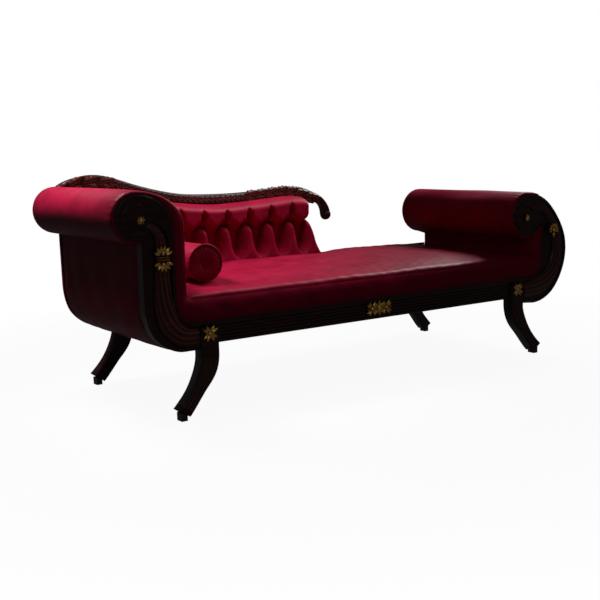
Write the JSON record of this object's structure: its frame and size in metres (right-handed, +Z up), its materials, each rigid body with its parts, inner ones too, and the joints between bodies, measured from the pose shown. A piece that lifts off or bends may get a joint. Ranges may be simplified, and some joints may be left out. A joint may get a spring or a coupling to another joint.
{
  "type": "recamier",
  "caption": "Day bed with an outward scroll at the head, an inward scroll at the foot, a buttoned half back with a carved crest, sabre legs and a loose bolster.",
  "frame": {"origin": "centre of the footprint's bounding box, on the floor", "axes": "+X from the high head scroll to the low foot scroll, +Y from the open front to the half back, +Z up"},
  "size_m": [2.2401, 0.7928, 0.862],
  "materials": {
    "crimson_leather": "glossy crimson upholstery leather with a fine grain",
    "mahogany": "dark polished mahogany",
    "frame_beech": "sawn beech, hidden inside the upholstery",
    "gilt_brass": "gilt brass, satin with worn highlights",
    "spring_steel": "plain steel",
    "glide_nylon": "dark nylon glide",
    "hessian": "plain woven hessian",
    "jute_webbing": "woven jute straps",
    "black_cloth": "thin black non-woven cloth"
  },
  "bodies": {
    "day_bed": {"head_arm_pad": "crimson_leather", "foot_arm_pad": "crimson_leather", "head_outer_panel": "crimson_leather", "foot_outer_panel": "crimson_leather", "seat_pad": "crimson_leather", "front_band": "crimson_leather", "rear_band": "crimson_leather", "back_pad": "crimson_leather", "back_buttons": "crimson_leather", "back_outer_panel": "crimson_leather", "front_seat_rail": "mahogany", "leg_front_head": "mahogany", "leg_front_foot": "mahogany", "leg_rear_head": "mahogany", "leg_rear_foot": "mahogany", "head_front_facing": "mahogany", "foot_front_facing": "mahogany", "head_horn": "mahogany", "foot_horn": "mahogany", "crest_rail": "mahogany", "head_rear_facing": "crimson_leather", "foot_rear_facing": "crimson_leather", "rear_seat_rail": "frame_beech", "head_end_rail": "frame_beech", "foot_end_rail": "frame_beech", "seat_brace_head": "frame_beech", "seat_brace_foot": "frame_beech", "corner_blocks": "frame_beech", "head_roll_core": "frame_beech", "foot_roll_core": "frame_beech", "head_arm_battens": "frame_beech", "foot_arm_battens": "frame_beech", "back_left_stile": "frame_beech", "back_right_stile": "frame_beech", "back_bottom_rail": "frame_beech", "back_slats": "frame_beech", "head_eye_rosette": "gilt_brass", "foot_eye_rosette": "gilt_brass", "head_horn_mount": "gilt_brass", "foot_horn_mount": "gilt_brass", "head_leg_mount": "gilt_brass", "foot_leg_mount": "gilt_brass", "centre_mount": "gilt_brass", "seat_springs": "spring_steel", "spring_clips": "spring_steel", "leg_bolts": "spring_steel", "glide_front_head": "glide_nylon", "glide_front_foot": "glide_nylon", "glide_rear_head": "glide_nylon", "glide_rear_foot": "glide_nylon", "seat_deck": "hessian", "back_webbing": "jute_webbing", "dust_cloth": "black_cloth"},
    "bolster": {"bolster": "crimson_leather", "bolster_buttons": "crimson_leather"}
  },
  "joints": [
    {"name": "bolster_lift", "type": "slide", "parent": "day_bed", "child": "bolster", "axis": [0, 0, 1], "range_m": [0, 0.5]}
  ]
}
